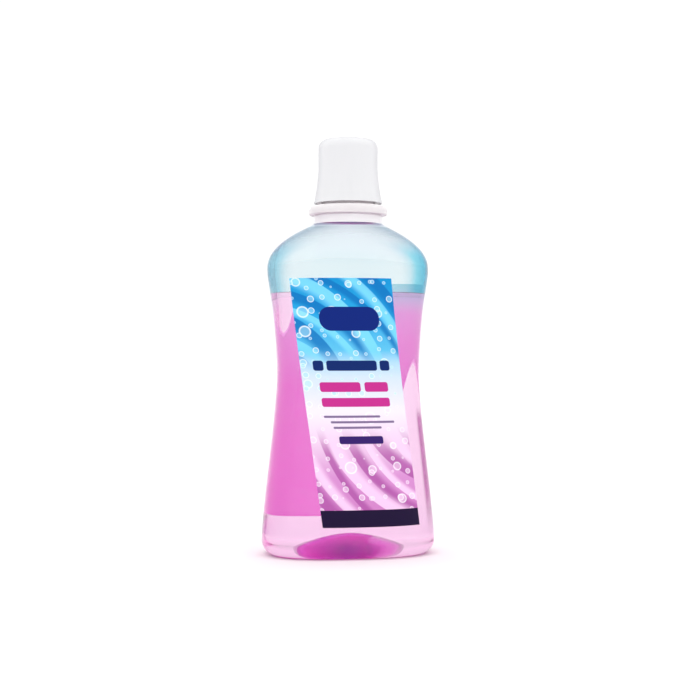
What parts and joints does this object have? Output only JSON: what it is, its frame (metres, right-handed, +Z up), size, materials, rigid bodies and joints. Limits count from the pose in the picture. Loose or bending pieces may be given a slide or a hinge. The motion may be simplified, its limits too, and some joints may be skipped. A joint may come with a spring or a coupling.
{
  "type": "mouthwash bottle",
  "caption": "Clear waisted flat-oval bottle holding two layered liquids, with leaning film labels front and back and a white screw-on measuring cap.",
  "frame": {"origin": "on the table under the bottle's axis, at the centre of the base", "axes": "+Z up along the neck, +X along the width to the right of someone facing the front label, -Y out of the front label"},
  "size_m": [0.0876, 0.057, 0.2095],
  "materials": {
    "clear_bottle": "gloss",
    "front_film": "gloss",
    "back_film": "gloss",
    "pink_liquid": "gloss",
    "blue_liquid": "gloss",
    "white_cap": "satin",
    "natural_insert": "satin",
    "soft_seal": "matte"
  },
  "bodies": {
    "bottle": {"bottle": "clear_bottle", "front_label": "front_film", "back_label": "back_film", "pink_liquid": "pink_liquid", "blue_liquid": "blue_liquid"},
    "seal": {"seal_ring": "soft_seal"},
    "cap": {"cap_shell": "white_cap", "cap_insert": "natural_insert"}
  },
  "joints": [
    {"name": "cap_lift", "type": "slide", "parent": "bottle", "child": "seal", "axis": [0, 0, 1], "range_m": [0, 0.04]},
    {"name": "cap_turn", "type": "hinge", "parent": "seal", "child": "cap", "pos_m": [0, 0, 0.1771], "axis": [0, 0, 1], "range_deg": [0, 360]}
  ]
}
